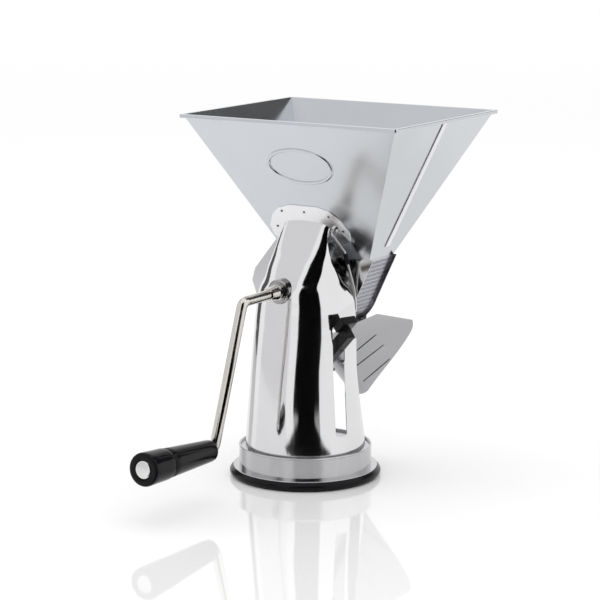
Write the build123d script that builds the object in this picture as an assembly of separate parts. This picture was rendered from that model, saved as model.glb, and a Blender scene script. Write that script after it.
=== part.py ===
from build123d import *
from math import acos, atan2, cos, degrees, hypot, radians, sin, sqrt, tan
import os

# Hand cranked tomato strainer on a suction foot. Millimetres, +Z up. The origin is the
# centre of the foot on the table, the crank points to -Y, the peel hood is on the -X side.

# ---- driving dimensions --------------------------------------------------------------------
# suction foot
foot_radius = 75.0
foot_height = 9.0
foot_bore = 56.0
cup_web = 2.5
boss_radius = 14.0
boss_height = 8.0
band_radius = 65.5
band_flange = 71.5
band_top = 30.5
band_sheet = 1.0
plate_level = 29.0
plate_sheet = 1.5

# column: level, centre x, centre y, half width, half depth of each section
column_sections = (
    (29.0, 0.0, 0.0, 59.5, 59.5),
    (75.0, 0.0, 1.0, 56.5, 58.0),
    (110.0, 0.0, 2.0, 54.5, 56.0),
    (148.0, 1.0, 3.0, 53.0, 53.0),
    (175.0, 1.7, 3.0, 50.5, 50.8),
    (190.0, 2.0, 1.0, 46.5, 47.0),
    (199.0, 2.3, -2.0, 41.5, 39.0),
    (210.0, 2.6, -6.0, 38.0, 28.2),
    (217.0, 3.0, -8.0, 35.0, 22.0),
    (230.0, 4.0, -9.0, 31.0, 13.0),
    (253.0, 5.5, -4.0, 26.0, 6.6),
    (262.0, 6.0, 1.5, 25.0, 6.5),
)
column_sheet = 1.0
slot_azimuth = -20.0
slot_width = 14.0
slot_bottom = 49.0
slot_top = 142.0
window_top = 158.0
column_screw_radius = 53.5
foot_flange_outer = 59.0
column_screw_angles = (-160.0, -125.0, -90.0, -55.0, -20.0)

# hopper
rim_width = 243.4
rim_depth = 201.4
rim_level = 358.4
rim_x = 18.0
throat_x = 18.1
throat_width = 96.2
throat_depth = 46.7
throat_level = 219.3
peel_gap_top = throat_level + 8.7
hopper_y = 34.75
hopper_sheet = 0.8
hem_width = 3.0
hem_height = 3.5
seam_width = 8.0
seam_height = 1.0
medallion_up = 106.0
medallion_size = (36.0, 20.0)

# shaft, rotor and sieve
shaft_level = 191.0
shaft_radius = 5.0
running = 0.06
sieve_radius = 47.4
sieve_sheet = 0.8
sieve_end_angle = 195.0
side_plate = 1.0
plate_lip = 3.0
rotor_gap = 1.5
tip_gap = 0.5
hub_radius = 14.0
blade_count = 4
blade_sheet = 2.5
blade_offset = 8.0
hole_radius = 1.3
hole_rows = 6
hole_columns = 26

# crank
crank_reach = 58.5
crank_throw = 144.6
crank_rest = 9.35
grip_tilt = 2.9
crank_lean = 15.0
crank_radius = 5.0
bend_radius = 7.0
spindle_radius = 4.0
grip_length = 108.0
grip_inner = 10.5
grip_outer = 16.0
collar_length = 33.0

# suction lever
pivot_level = 95.0
pivot_radial = 5.4
lever_rest = 43.0
lever_swing = 78.0
eccentric = 6.36
crank_pin_radius = 3.0
trunnion_radius = 5.0
lever_hub_radius = 14.0
lever_half = 9.0
lever_gap = 3.6
arm_half = 4.5
arm_height = 12.0
arm_length = 86.0
head_half = 8.9
head_start = 79.0
head_end = 95.5
head_top = 12.9
head_thick = 7.8
stem_radius = 5.0
bracket_sheet = 3.0

# clip wire
wire_radius = 1.1
sleeve_radius = 2.2
clip_x = 37.0
clip_up = 34.0
clip_reach = 7.5
clip_lug_height = 3.0

# juice chute
chute_sheet = 1.2
chute_wall_slope = 60.1
chute_fall = 0.888
chute_apex = 137.0
chute_fold = 15.0
chute_rear = 113.6

# ---- sizes that follow ---------------------------------------------------------------------
basket_front = hopper_y - throat_depth / 2
basket_rear = hopper_y + throat_depth / 2
sieve_outer = sieve_radius + sieve_sheet
lip_radius = sieve_outer + plate_lip
throat_left = throat_x - throat_width / 2
throat_right = throat_x + throat_width / 2
panel_run = rim_depth / 2 - hem_width - throat_depth / 2
panel_rise = rim_level - throat_level
panel_angle = degrees(atan2(panel_run, panel_rise))
panel_up = Vector(0, -sin(radians(panel_angle)), cos(radians(panel_angle)))
panel_out = Vector(0, -cos(radians(panel_angle)), -sin(radians(panel_angle)))
column_front = 45.5
housing_face = column_front + 4.0
bend_y = -(housing_face + crank_reach + 2.5)
grip_y = bend_y - crank_lean
grip_x = -crank_throw * sin(radians(crank_rest))
grip_z = shaft_level - crank_throw * cos(radians(crank_rest))


# ---- helpers -------------------------------------------------------------------------------
def along_y(radius, start, end, x=0.0, z=0.0):
    """A round bar whose axis is parallel to Y."""
    bar = Cylinder(radius, abs(end - start))
    return Pos(x, (start + end) / 2, z) * Rot(90, 0, 0) * bar


def ring_y(outer, inner, start, end, x=0.0, z=0.0):
    """A round tube whose axis is parallel to Y."""
    return along_y(outer, start, end, x, z) - along_y(inner, start - 1, end + 1, x, z)


def upright(radius, low, high, x=0.0, y=0.0):
    """A round bar standing between two levels."""
    return Pos(x, y, (low + high) / 2) * Cylinder(radius, high - low)


def block(x, y, z):
    """A box between the pairs of limits in x, y and z."""
    size = (x[1] - x[0], y[1] - y[0], z[1] - z[0])
    middle = (sum(x) / 2, sum(y) / 2, sum(z) / 2)
    return Pos(*middle) * Box(*size)


def turned(points):
    """A solid turned about Z from an outline of (radius, level) points."""
    outline = Polyline(*[(r, 0, z) for r, z in points], close=True)
    return revolve(make_face(outline), Axis.Z, 360)


def turned_y(points, x=0.0, z=0.0):
    """A solid turned about a line parallel to Y from (radius, y) points."""
    outline = Polyline(*[(r, y, 0) for r, y in points], close=True)
    return Pos(x, 0, z) * revolve(make_face(outline), Axis.Y, 360)


def flat_y(outline, start, end):
    """A plate with an XZ outline, from y = start to y = end."""
    face = make_face(outline)
    return extrude(face, amount=end - start, dir=(0, 1, 0)).moved(Location((0, start, 0)))


def on_grip_axis(shape):
    """Tilt a shape drawn along the grip's level axis up to the grip's own axis."""
    elbow = Pos(0, grip_y, grip_z)
    return elbow * Rot(-grip_tilt, 0, 0) * elbow.inverse() * shape


def on_slot_plane(shape):
    """Turn a shape drawn with x outwards through the slot into its azimuth."""
    return Rot(0, 0, slot_azimuth) * shape


def hopper_block(outset, low, high):
    """The inside of the hopper's four panels between two levels, moved out by outset."""
    faces = []
    for level in (low, high):
        share = (level - throat_level) / panel_rise
        width = throat_width + share * (rim_width - 2 * hem_width - throat_width)
        depth = throat_depth + share * (rim_depth - 2 * hem_width - throat_depth)
        x = throat_x + share * (rim_x - throat_x)
        panel = Rectangle(width + 2 * outset, depth + 2 * outset)
        faces.append(Pos(x, hopper_y, level) * panel)
    return loft(faces)


def panel_point(x, up, out=0.0):
    """A point on the front panel: x across it, up along it and out from its face."""
    base = Vector(x, basket_front, throat_level)
    return base + panel_up * up + panel_out * out


def panel_plane(x, up, out=0.0):
    """A plane that lies on the front panel, its z pointing out of the hopper."""
    return Plane(origin=panel_point(x, up, out), x_dir=(1, 0, 0), z_dir=tuple(panel_out))


# ---- suction foot --------------------------------------------------------------------------
def foot_ring():
    """Rubber ring that the foot stands on, with a soft outer lip."""
    lip = 3.0
    ring = turned((
        (foot_bore, 0), (foot_radius - lip, 0), (foot_radius, lip),
        (foot_radius, foot_height - lip), (foot_radius - lip, foot_height),
        (foot_bore, foot_height),
    ))
    corners = ring.edges().filter_by(GeomType.CIRCLE).group_by(SortBy.RADIUS)[-1]
    return fillet(corners, lip * 0.9)


def cup_membrane():
    """Thin rubber web between the ring and the lifting boss."""
    web = upright(foot_bore - 0.05, cup_web, 2 * cup_web)
    return web - upright(boss_radius + 0.3, 0, foot_height)


def cup_boss():
    """Rubber boss that is lifted to draw the cup down."""
    boss = upright(boss_radius, 0, boss_height)
    return boss - upright(stem_radius + running, cup_web, boss_height + 1)


def base_band():
    """Steel band with a foot flange outside and a rolled top edge."""
    inside = band_radius - band_sheet
    band = turned((
        (inside, foot_height), (band_flange, foot_height), (band_flange, foot_height + band_sheet),
        (band_radius, foot_height + band_sheet), (band_radius, band_top), (inside, band_top),
    ))
    bead = Pos(0, 0, band_top) * Torus(band_radius - band_sheet / 2, band_sheet)
    bottom = band.edges().group_by(Axis.Z)[0].group_by(SortBy.RADIUS)[0]
    return fillet(bottom, band_sheet * 0.3) + bead


def screw_places():
    """Places of the screws that hold the column down."""
    return [
        (column_screw_radius * cos(radians(a)), column_screw_radius * sin(radians(a)))
        for a in column_screw_angles
    ]


def bracket_screw_places():
    """Places of the two screws of the lever bracket, on its own axis."""
    return [(-25.0, 0.0), (25.0, 0.0)]


def base_plate():
    """Steel plate just under the band's rim."""
    radius = band_radius - band_sheet - 0.05
    plate = upright(radius, plate_level - plate_sheet, plate_level)
    plate -= upright(guide_radius + running, 0, plate_level + 1)
    for x, y in screw_places():
        plate -= upright(screw_radius + running, 0, plate_level + 1, x, y)
    for x, y in bracket_screw_places():
        plate -= on_slot_plane(upright(screw_radius + running, 0, plate_level + 1, x, y))
    return plate


screw_radius = 2.0
screw_head_radius = 3.8
screw_head = 2.2
guide_radius = 9.0
guide_flange = 12.0


def pan_screw(x, y, seat, grip):
    """A pan head screw: its head on the seat, its shank down through the grip."""
    head = upright(screw_head_radius, seat, seat + screw_head, x, y)
    head = fillet(head.edges().group_by(Axis.Z)[-1], screw_head * 0.6)
    shank = upright(screw_radius, seat - grip, seat, x, y)
    nut = Pos(x, y, plate_level - plate_sheet) * extrude(RegularPolygon(3.6, 6), amount=-2.4)
    return head + shank + (nut - shank)


def column_screws():
    """Screws through the column's foot."""
    seat = plate_level + column_sheet
    return Compound([pan_screw(x, y, seat, 7.0) for x, y in screw_places()])


def bracket_screws():
    """Screws through the lever bracket's foot."""
    seat = plate_level + bracket_sheet
    screws = [pan_screw(x, y, seat, 9.0) for x, y in bracket_screw_places()]
    return Compound([on_slot_plane(screw) for screw in screws])


# ---- column --------------------------------------------------------------------------------
def column_body(inset):
    """The column's outer form, drawn in by inset."""
    faces = []
    for level, x, y, half_width, half_depth in column_sections:
        faces.append(Pos(x, y, level) * Ellipse(half_width - inset, half_depth - inset))
    return loft(faces, ruled=True)


def column_opening():
    """What is open behind the column's rear edges."""
    edge = Polyline(
        (0, 30, 28), (0, 16, 68), (0, 9, 108), (0, 8, 135), (0, 8, 188), (0, -9, 210),
        (0, -12, 218), (0, -12, 230), (0, -9, 243), (0, 20, 270), (0, 90, 270), (0, 90, 28),
        close=True,
    )
    return extrude(make_face(edge), amount=90, dir=(1, 0, 0), both=True)


def behind_panel(out):
    """Everything behind the front panel's outside, moved out by out."""
    reach = 160.0
    slab = extrude(panel_plane(throat_x, 0, out) * Rectangle(300, 300), amount=-reach)
    return slab


def column_shell():
    """Bent sheet column with its lever slot, its rear opening and its foot flange."""
    flange_depth = 9.0
    shell = column_body(0) - column_body(column_sheet)
    foot = Circle(foot_flange_outer) - Circle(foot_flange_outer - flange_depth)
    shell += Pos(0, 0, plate_level) * extrude(foot, amount=column_sheet)
    shell -= column_opening()
    shell -= behind_panel(flange_sheet)
    half = slot_width / 2
    slot = block((40, 80), (-half, half), (slot_bottom, slot_top + half))
    slot = fillet(slot.edges().filter_by(Axis.X).group_by(Axis.Z)[0], 1.5)
    window = block((30, 80), (-half, 70), (slot_top, window_top))
    shell -= on_slot_plane(slot + window)
    shell -= along_y(housing_radius + 0.05, -column_front - 20, 0, 0, shaft_level)
    for sx, sy in screw_places():
        shell -= upright(screw_radius + running, 0, plate_level + 5, sx, sy)
    return shell


flange_sheet = 0.8
flange_x = 7.5
weld_places = ((-29.2, 32), (-18.7, 51.3), (7.2, 52.1), (34.2, 49), (46, 33))


def column_flange():
    """Plate on the hopper's front panel that the column is welded to."""
    half = ((43.5, 18), (45.5, 33), (39, 46), (30, 54.5), (16, 59.5))
    points = list(half) + [(-x, up) for x, up in reversed(half)]
    plate = Polygon(*points, align=None)
    plate = fillet(plate.vertices(), 6)
    return extrude(panel_plane(flange_x, 0, 0) * plate, amount=flange_sheet)


def weld_spots():
    """Spot welds on the flange."""
    spots = []
    for x, up in weld_places:
        plane = panel_plane(x, up, flange_sheet)
        spots.append(extrude(plane * Circle(1.2), amount=0.4))
    return Compound(spots)


# ---- hopper --------------------------------------------------------------------------------
def hopper_shell():
    """The hopper's four panels as one shell, cut away over the peel gap."""
    inside = hopper_block(-hopper_sheet * 1.13, throat_level - 1, rim_level + 1)
    shell = hopper_block(0, throat_level, rim_level) - inside
    gap = block(
        (throat_left - 12, throat_left + 1.5), (basket_front + 1.2, basket_rear - 1.2),
        (throat_level - 5, peel_gap_top),
    )
    return shell - gap


def hopper_half(front):
    """One bent sheet of the hopper, on the front or the rear side of the side seams."""
    reach = 200.0
    if front:
        side = block((-reach, reach), (-reach, hopper_y), (0, 2 * reach))
    else:
        side = block((-reach, reach), (hopper_y, 2 * reach), (0, 2 * reach))
    return hopper_shell() & side


def hopper_front():
    """Front sheet with the bare oval medallion pressed outwards."""
    wide, high = medallion_size
    bead = 2.0
    oval = Ellipse(wide, high) - Ellipse(wide - bead, high - bead)
    pressed = extrude(panel_plane(throat_x, medallion_up) * oval, amount=bead * 0.4)
    return hopper_half(True) + pressed


def hopper_rear():
    """Rear sheet."""
    return hopper_half(False)


def rim_hem():
    """Folded hem around the rim."""
    low = rim_level - hem_height
    ring = Pos(rim_x, hopper_y, low) * extrude(Rectangle(rim_width, rim_depth), amount=hem_height)
    ring = fillet(ring.edges().filter_by(Axis.Z), hem_width)
    ring -= hopper_block(0.02, low - 1, rim_level + 1)
    return ring


def side_seams():
    """Lock seams down the middle of the two side panels."""
    low = peel_gap_top + 2.0
    high = rim_level - hem_height - 0.3
    strips = hopper_block(seam_height * 1.13, low, high) - hopper_block(0.02, low - 1, high + 1)
    half = seam_width / 2
    band = block((-200, 250), (hopper_y - half, hopper_y + half), (low - 1, high + 1))
    return strips & band


# ---- basket under the hopper ---------------------------------------------------------------
def tangent_angle(radius):
    """Angle, on the sieve circle, of the tangent from the throat's right edge."""
    dx = throat_right
    dz = throat_level - shaft_level
    return degrees(atan2(dz, dx) - acos(radius / hypot(dx, dz)))


def on_circle(radius, angle):
    """A point of a circle about the shaft, as (x, z)."""
    a = radians(angle)
    return (radius * cos(a), shaft_level + radius * sin(a))


def basket_outline(radius, left):
    """Closed XZ outline: throat edge, tangent wall, arc to the peel side, then left points."""
    start = tangent_angle(radius)
    finish = sieve_end_angle - 360
    middle = (start + finish) / 2
    a = on_circle(radius, start)
    m = on_circle(radius, middle)
    b = on_circle(radius, finish)
    top = ((throat_right + radius - sieve_radius, throat_level - 0.1))
    arc = ThreePointArc((a[0], 0, a[1]), (m[0], 0, m[1]), (b[0], 0, b[1]))
    points = [b] + list(left) + [top, a]
    return Wire([arc] + Polyline(*[(x, 0, z) for x, z in points]).edges())


hood_points = ((-64.0, 171.0), (-70.0, 187.0), (-66.5, 199.5), (-40.5, 232.0))


def side_plate_outline():
    """Outline of an end plate: the sieve's end and the cheek of the peel hood."""
    left = [hood_points[0], hood_points[1], hood_points[2], hood_points[3]]
    corner = (throat_left - 5.1, peel_gap_top)
    return left + [(-37.5, 229.5), corner, (throat_left - 0.5, throat_level - 0.1)]


def end_plate(start):
    """A flat end plate of the basket with its bearing hole."""
    plate = flat_y(basket_outline(lip_radius, side_plate_outline()), start, start + side_plate)
    return plate - along_y(bush_radius + running, start - 2, start + 3, 0, shaft_level)


def front_plate():
    """End plate on the crank's side."""
    return end_plate(basket_front)


def rear_plate():
    """End plate on the far side."""
    return end_plate(basket_rear - side_plate)


def sieve_face(radius):
    """Solid inside of the sieve at one radius, between the end plates."""
    start = tangent_angle(radius)
    finish = sieve_end_angle - 360
    a = on_circle(radius, start)
    m = on_circle(radius, (start + finish) / 2)
    b = on_circle(radius, finish)
    top = (throat_right + radius - sieve_outer, throat_level - 0.1)
    arc = ThreePointArc((a[0], 0, a[1]), (m[0], 0, m[1]), (b[0], 0, b[1]))
    rest = Polyline((b[0], 0, b[1]), (0, 0, shaft_level), (0, 0, top[1]), (top[0], 0, top[1]),
                    (a[0], 0, a[1]))
    return Wire([arc] + rest.edges())


def sieve_holes():
    """Drilled holes of the sieve, in staggered rows around the arc."""
    holes = []
    first = sieve_end_angle - 360 + 8
    last = tangent_angle(sieve_radius)
    span = basket_rear - basket_front - 2 * side_plate
    pitch = span / hole_rows
    for column in range(hole_columns):
        angle = first + (last - first) * column / (hole_columns - 1)
        shift = pitch / 4 if column % 2 else -pitch / 4
        for row in range(hole_rows):
            y = basket_front + side_plate + pitch * (row + 0.5) + shift
            x, z = on_circle(sieve_radius, angle)
            pin = Rot(0, 90 - angle, 0) * Cylinder(hole_radius, 8)
            holes.append(Pos(x, y, z) * pin)
    return holes


def sieve_screen():
    """Perforated sheet: a straight wall under the throat and an arc round the rotor."""
    low = basket_front + side_plate
    high = basket_rear - side_plate
    sheet = flat_y(sieve_face(sieve_outer), low, high)
    sheet -= flat_y(sieve_face(sieve_radius), low - 1, high + 1)
    sheet -= block((-10, 200), (low - 1, high + 1), (throat_level - 0.1, throat_level + 5))
    sheet -= block((-sieve_radius + 1, 15), (low - 1, high + 1), (shaft_level - 2, throat_level))
    return sheet - sieve_holes()


def peel_hood():
    """Curved hood that turns the skins downwards."""
    gap = 0.0
    low = basket_front + side_plate + gap
    high = basket_rear - side_plate - gap
    outer = FilletPolyline(*[(x, 0, z) for x, z in hood_points], radius=12)
    sheet = hopper_sheet
    inner = FilletPolyline(*[(x + sheet, 0, z) for x, z in hood_points], radius=12)
    first = Line(outer @ 0, inner @ 0)
    last = Line(outer @ 1, inner @ 1)
    outline = Wire(outer.edges() + inner.edges() + [first.edge(), last.edge()])
    return flat_y(outline, low, high)


# ---- juice chute ---------------------------------------------------------------------------
def chute_level(x, y):
    """Level of the chute's flat walls at a place in plan."""
    return chute_apex - chute_fall * y + tan(radians(chute_wall_slope)) * abs(x)


def chute_profile(y, drop):
    """V shaped XZ outline at one y, from which the gutter is drawn out."""
    top = 90.0
    slope = tan(radians(chute_wall_slope))
    apex = chute_apex - chute_fall * y - drop
    line = FilletPolyline(
        (-top, y, apex + slope * top), (0, y, apex), (top, y, apex + slope * top),
        radius=chute_fold + (0 if drop else 0),
    )
    return line


def chute_sheet_body():
    """The folded gutter before its edges are cut."""
    start = 0.0
    lower = chute_profile(start, chute_sheet * 2)
    upper = chute_profile(start, 0)
    ends = [Line(lower @ 0, upper @ 0).edge(), Line(lower @ 1, upper @ 1).edge()]
    outline = Wire(lower.edges() + upper.edges() + ends)
    length = 130.0
    direction = Vector(0, 1, -chute_fall)
    amount = length * direction.length
    return extrude(make_face(outline), amount=amount, dir=tuple(direction.normalized()))


rib_lines = (((36.0, 76.0), (9.0, 54.5)), ((36.0, 91.0), (9.0, 68.0)), ((34.0, 107.0), (13.5, 91.5)))


def chute_rib(start, end, side):
    """A pressed rib along a wall of the gutter."""
    radius = 1.5
    mid = -chute_sheet
    a = Vector(side * start[0], start[1], chute_level(*start) + mid)
    b = Vector(side * end[0], end[1], chute_level(*end) + mid)
    middle = (a + b) / 2
    axis = Plane(origin=middle, z_dir=tuple((b - a).normalized()))
    bar = axis * Cylinder(radius, (b - a).length)
    return bar + Pos(*a) * Sphere(radius) + Pos(*b) * Sphere(radius)


def juice_chute():
    """Folded gutter under the sieve with ribs, two rear straps and a front tongue."""
    nose = basket_front + 3.1
    half_plan = (
        (5.6, nose), (43.7, 65), (61, chute_rear), (35, chute_rear - 0.6), (20, chute_rear - 3.6),
        (12, chute_rear - 7.6), (4, chute_rear - 12),
    )
    other_half = [(-x, y) for x, y in reversed(half_plan)]
    plan = Polyline(*half_plan, (0, chute_rear - 13.6), *other_half, close=True)
    prism = extrude(make_face(plan), amount=260)
    prism = fillet(prism.edges().filter_by(Axis.Z).group_by(Axis.Y)[-1], 4)
    chute = chute_sheet_body() & prism
    for start, end in rib_lines:
        for side in (-1, 1):
            chute += chute_rib(start, end, side)
    for side in (-1, 1):
        near, far = 25.0, 35.0
        level = basket_rear + side_plate / 2
        points = ((near, chute_level(near, level)), (far, chute_level(far, level)),
                  (far, shaft_level - 23), (near, shaft_level - 23))
        strap = Polyline(*[(side * x, 0, z) for x, z in points], close=True)
        chute += flat_y(strap, basket_rear, basket_rear + side_plate)
    half = 6.0
    floor = chute_level(0, nose) + chute_fold * (1 / cos(radians(chute_wall_slope)) - 1)
    tongue = block((-half, half), (basket_front - side_plate, nose + 3), (floor - 2, floor - 0.8))
    tab = block((-half, half), (basket_front - side_plate, basket_front), (floor - 2, floor + 17))
    return chute + tongue + tab


# ---- shaft line ----------------------------------------------------------------------------
housing_radius = 12.0
housing_inside = 13.5
bush_radius = 8.0
washer_radius = 7.6


def bearing_housing():
    """Steel boss through the column's front wall, with a ring nut inside."""
    back = -column_front + housing_inside
    body = turned_y((
        (bush_radius + 0.05, -housing_face), (housing_radius - 1, -housing_face),
        (housing_radius, -housing_face + 1), (housing_radius, back), (bush_radius + 0.05, back),
    ), 0, shaft_level)
    return body


def housing_nut():
    """Ring nut that draws the boss against the column's inside."""
    start = -column_front + housing_inside - 3.5
    return ring_y(housing_radius + 2.5, housing_radius + 0.05, start, start + 3.2, 0, shaft_level)


def front_bush():
    """Flanged bush in the boss."""
    flange = 1.2
    back = -column_front + housing_inside
    tube = ring_y(bush_radius, shaft_radius + running, -housing_face, back, 0, shaft_level)
    collar = ring_y(bush_radius + 1.4, shaft_radius + running, -housing_face - flange,
                    -housing_face, 0, shaft_level)
    return tube + collar


def plate_bush(start, outward):
    """Flanged bush in an end plate; outward is the side its flange lies on."""
    if outward < 0:
        flange = (start - 1.5, start)
    else:
        flange = (start + side_plate, start + side_plate + 1.5)
    tube = ring_y(bush_radius, shaft_radius + running, start, start + side_plate, 0, shaft_level)
    collar = ring_y(bush_radius + 3, shaft_radius + running, *flange, 0, shaft_level)
    return tube + collar


def basket_front_bush():
    """Bush in the front end plate."""
    return plate_bush(basket_front, -1)


def basket_rear_bush():
    """Bush in the rear end plate."""
    return plate_bush(basket_rear - side_plate, 1)


shaft_start = -(housing_face + 9.0)
shaft_end = basket_rear + 12.0


def drive_shaft():
    """Round shaft from the crank's ferrule to the nut behind the basket."""
    shaft = along_y(shaft_radius, shaft_start, shaft_end, 0, shaft_level)
    pin = upright(cross_pin_radius + running, shaft_level - 20, shaft_level + 20, 0, hopper_y)
    return chamfer(shaft.edges().group_by(Axis.Y)[-1], 0.8) - pin


cross_pin_radius = 2.0


def thrust_washer():
    """Washer between the ferrule and the front bush."""
    start = -housing_face - 2.5
    return ring_y(washer_radius, shaft_radius + running, start, start + 1.2, 0, shaft_level)


def end_nut():
    """Domed nut on the shaft's far end."""
    start = basket_rear + 1.9
    width = 9.0
    hexagon = Plane(origin=(0, start, shaft_level), x_dir=(1, 0, 0), z_dir=(0, 1, 0))
    nut = extrude(hexagon * RegularPolygon(width, 6), amount=7.0)
    dome = Pos(0, start + 7.0, shaft_level) * Sphere(width * 0.8)
    dome &= block((-20, 20), (start + 7.0, start + 30), (shaft_level - 20, shaft_level + 20))
    return nut + dome - along_y(shaft_radius + running, start - 1, shaft_end + 0.2, 0, shaft_level)


def rotor_span():
    """Front and rear limits of the rotor."""
    return (basket_front + side_plate + rotor_gap, basket_rear - side_plate - rotor_gap)


def blade_block(inner, outer, thickness, clearance=0.0):
    """A flat blade beside the shaft, from inner to outer along x."""
    low, high = rotor_span()
    half = thickness / 2 + clearance
    z = shaft_level + blade_offset
    return block((inner, outer), (low, high), (z - half, z + half))


def round_rotor(shape):
    """Copies of a shape at every blade's place about the shaft."""
    centre = Pos(0, 0, shaft_level)
    step = 360 / blade_count
    return [centre * Rot(0, i * step, 0) * centre.inverse() * shape for i in range(blade_count)]


def rotor_hub():
    """Hub keyed to the shaft with a slot for every blade."""
    low, high = rotor_span()
    hub = along_y(hub_radius, low, high, 0, shaft_level)
    hub = fillet(hub.edges(), 1.5)
    hub -= along_y(shaft_radius + running, low - 1, high + 1, 0, shaft_level)
    slots = round_rotor(blade_block(blade_root - 0.1, 60, blade_sheet, 0.05))
    hub -= upright(cross_pin_radius + running, shaft_level - 20, shaft_level + 20, 0, hopper_y)
    return hub - slots


blade_root = 8.5
blade_tip = sqrt((sieve_radius - tip_gap - 3.0) ** 2 - (blade_offset + blade_sheet) ** 2)


def rotor_blades():
    """Steel blades, slotted into the hub."""
    return Compound(round_rotor(blade_block(blade_root, blade_tip, blade_sheet)))


def rotor_lips():
    """Rubber lips that clip over the blades and wipe the sieve."""
    tip = 60.0
    lip = blade_block(blade_tip - 5.0, tip, blade_sheet + 2.6)
    lip -= blade_block(blade_tip - 6.0, blade_tip + 0.05, blade_sheet, 0.05)
    low, high = rotor_span()
    lip &= along_y(sieve_radius - tip_gap, low, high, 0, shaft_level)
    return Compound(round_rotor(lip))


def rotor_pin():
    """Cross pin through the hub and the shaft."""
    reach = hub_radius - 0.4
    return upright(cross_pin_radius, shaft_level - reach, shaft_level + reach, 0, hopper_y)


# ---- crank ---------------------------------------------------------------------------------
def crank_ferrule():
    """Steel ferrule that joins the crank's rod to the shaft."""
    face = -housing_face - 2.5
    long = 15.0
    body = turned_y((
        (shaft_radius + running, face), (7.0, face), (7.4, face - 4), (6.2, face - long),
        (shaft_radius + running, face - long),
    ), 0, shaft_level)
    return body


def crank_path():
    """Centre line of the crank's rod up to the spindle."""
    start = (0, shaft_start - 0.2, shaft_level)
    bend = (0, bend_y, shaft_level)
    elbow = (grip_x, grip_y, grip_z)
    reach = bend_radius - 0.2
    drop = radians(grip_tilt)
    end = (grip_x, grip_y - reach * cos(drop), grip_z + reach * sin(drop))
    return FilletPolyline(start, bend, elbow, end, radius=bend_radius)


def crank_arm():
    """Bent round rod with a thinner spindle inside the grip."""
    path = crank_path()
    section = Plane(origin=path @ 0, z_dir=path % 0) * Circle(crank_radius)
    rod = sweep(section, path=path)
    spindle = along_y(spindle_radius, grip_start + 1.0, grip_end + 1.9, grip_x, grip_z)
    return rod + on_grip_axis(spindle)


grip_start = grip_y - bend_radius
grip_end = grip_start - grip_length


def grip_radius_at(y):
    """Outer radius of the tapered grip at a place along it."""
    share = (grip_start - y) / grip_length
    return grip_inner + (grip_outer - grip_inner) * share


def crank_grip():
    """Tapered grip turning on the spindle."""
    seam = grip_end + collar_length
    hole = spindle_radius + running
    body = turned_y((
        (hole, grip_start), (grip_inner, grip_start), (grip_radius_at(seam), seam), (hole, seam),
    ), grip_x, grip_z)
    body = fillet(body.edges().group_by(Axis.Y)[-1].group_by(SortBy.RADIUS)[-1], 3.0)
    return on_grip_axis(body)


def grip_collar():
    """Outer length of the grip, slightly proud at its seam, with a recessed end."""
    seam = grip_end + collar_length
    hole = spindle_radius + running
    proud = 0.6
    recess = 2.5
    body = turned_y((
        (hole, seam), (grip_radius_at(seam) + proud, seam), (grip_outer, grip_end),
        (cap_radius + 0.4, grip_end), (cap_radius + 0.4, grip_end + recess),
        (hole, grip_end + recess),
    ), grip_x, grip_z)
    body = fillet(body.edges().group_by(Axis.Y)[0].group_by(SortBy.RADIUS)[-1], 2.0)
    return on_grip_axis(body)


cap_radius = 10.0


def grip_cap():
    """Domed steel cap riveted on the spindle's end."""
    face = grip_end + 1.9
    cap = turned_y((
        (0, face), (cap_radius, face), (cap_radius, face - 1.0), (cap_radius * 0.8, face - 2.4),
        (0, face - 3.0),
    ), grip_x, grip_z)
    return on_grip_axis(cap)


# ---- suction lever -------------------------------------------------------------------------
def pin_place(share):
    """Place of the eccentric pin in the slot plane; share 0 is at rest and 1 locked."""
    angle = radians(180 + lever_swing / 2 - share * lever_swing)
    return (pivot_radial + eccentric * cos(angle), pivot_level + eccentric * sin(angle))


lever_lift = pin_place(1)[1] - pin_place(0)[1]


def lever_bracket():
    """Two cheeks on a foot plate that carry the lever."""
    inner = lever_half + 0.4
    outer = inner + bracket_sheet
    top = pivot_level + 12.0
    foot = block((-32, 32), (-outer, outer), (plate_level, plate_level + bracket_sheet))
    foot -= upright(guide_flange + 0.3, 0, plate_level + 10)
    for x, y in bracket_screw_places():
        foot -= upright(screw_radius + running, 0, plate_level + 10, x, y)
    bracket = foot
    for side in (-1, 1):
        limits = sorted((side * inner, side * outer))
        cheek = block((pivot_radial - 14, pivot_radial + 14), limits, (plate_level, top))
        cheek = fillet(cheek.edges().filter_by(Axis.Y).group_by(Axis.Z)[-1], 12)
        bracket += cheek
    bore = Pos(pivot_radial, 0, pivot_level) * Rot(90, 0, 0)
    return on_slot_plane(bracket - bore * Cylinder(trunnion_radius + running, 60))


def lever_head():
    """Finger piece outside the slot, wider than the arm and set above its line."""
    low = head_top - head_thick
    head = block((head_start, head_end), (-head_half, head_half), (low, head_top))
    head = fillet(head.edges(), 1.2)
    neck = block((head_start, arm_length), (-arm_half, arm_half), (0, low + 2))
    return head + neck


def suction_lever():
    """Moulded lever: forked hub with trunnions, arm through the slot and finger piece."""
    pivot = Pos(pivot_radial, 0, pivot_level)
    across = pivot * Rot(90, 0, 0)
    hub = across * Cylinder(lever_hub_radius, 2 * lever_half)
    arm = Pos(arm_length / 2, 0, 0) * Box(arm_length, 2 * arm_half, arm_height)
    lever = hub + pivot * Rot(0, -lever_rest, 0) * (arm + lever_head())
    web = 10.0
    gap = block((-20, web), (-lever_gap, lever_gap), (-20, 20))
    lever -= pivot * Rot(0, -lever_rest, 0) * gap
    lever += across * Cylinder(trunnion_radius, 2 * (lever_half + bracket_sheet))
    lever -= pivot * Rot(0, -lever_rest, 0) * gap
    x, z = pin_place(0)
    lever -= Pos(x, 0, z) * Rot(90, 0, 0) * Cylinder(crank_pin_radius + running, 60)
    return on_slot_plane(lever)


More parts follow.
